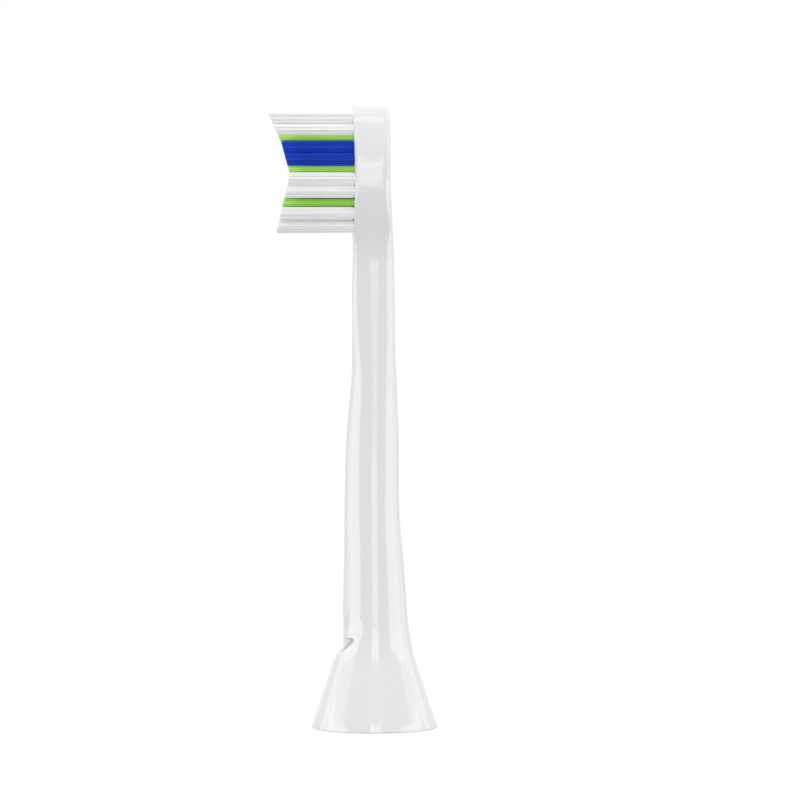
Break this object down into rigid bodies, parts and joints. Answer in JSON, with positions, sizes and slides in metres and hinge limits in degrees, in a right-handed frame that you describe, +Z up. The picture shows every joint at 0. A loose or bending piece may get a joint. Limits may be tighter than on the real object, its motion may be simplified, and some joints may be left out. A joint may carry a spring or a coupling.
{
  "type": "electric toothbrush head",
  "caption": "Push-on electric toothbrush head: slim white neck with a flared hollow skirt, and white, green and blue bristle tufts trimmed to a shallow valley.",
  "frame": {"origin": "centre of the skirt's rim, on the axis of the drive shaft", "axes": "+Z up the neck, bristles to -Y, +X to the right seen from the bristle side"},
  "size_m": [0.0176, 0.0234, 0.087],
  "materials": {
    "body_plastic": "gloss white moulded plastic",
    "bristle_white": "white nylon filaments",
    "bristle_green": "green nylon filaments",
    "bristle_blue": "blue nylon filaments",
    "spring_steel": "stainless spring strip",
    "anchor_brass": "flat brass wire"
  },
  "bodies": {
    "root": {"blue_tuft_edge_4_left": "bristle_blue", "blue_tuft_edge_4_right": "bristle_blue", "blue_tuft_edge_5_left": "bristle_blue", "blue_tuft_edge_5_right": "bristle_blue", "blue_tuft_inner_2_left": "bristle_blue", "blue_tuft_inner_2_right": "bristle_blue", "green_tuft_edge_3_left": "bristle_green", "green_tuft_edge_3_right": "bristle_green", "green_tuft_edge_6_left": "bristle_green", "green_tuft_edge_6_right": "bristle_green", "green_tuft_edge_9_left": "bristle_green", "green_tuft_edge_9_right": "bristle_green", "green_tuft_inner_1_left": "bristle_green", "green_tuft_inner_1_right": "bristle_green", "green_tuft_inner_3_left": "bristle_green", "green_tuft_inner_3_right": "bristle_green", "green_tuft_inner_5_left": "bristle_green", "green_tuft_inner_5_right": "bristle_green", "head_body": "body_plastic", "shaft_spring": "spring_steel", "tuft_anchors": "anchor_brass", "white_tuft_edge_10_left": "bristle_white", "white_tuft_edge_10_right": "bristle_white", "white_tuft_edge_11_left": "bristle_white", "white_tuft_edge_11_right": "bristle_white", "white_tuft_edge_1_left": "bristle_white", "white_tuft_edge_1_right": "bristle_white", "white_tuft_edge_2_left": "bristle_white", "white_tuft_edge_2_right": "bristle_white", "white_tuft_edge_7_left": "bristle_white", "white_tuft_edge_7_right": "bristle_white", "white_tuft_edge_8_left": "bristle_white", "white_tuft_edge_8_right": "bristle_white", "white_tuft_inner_4_left": "bristle_white", "white_tuft_inner_4_right": "bristle_white", "white_tuft_inner_6_left": "bristle_white", "white_tuft_inner_6_right": "bristle_white", "white_tuft_middle_1": "bristle_white", "white_tuft_middle_2": "bristle_white"}
  },
  "joints": []
}
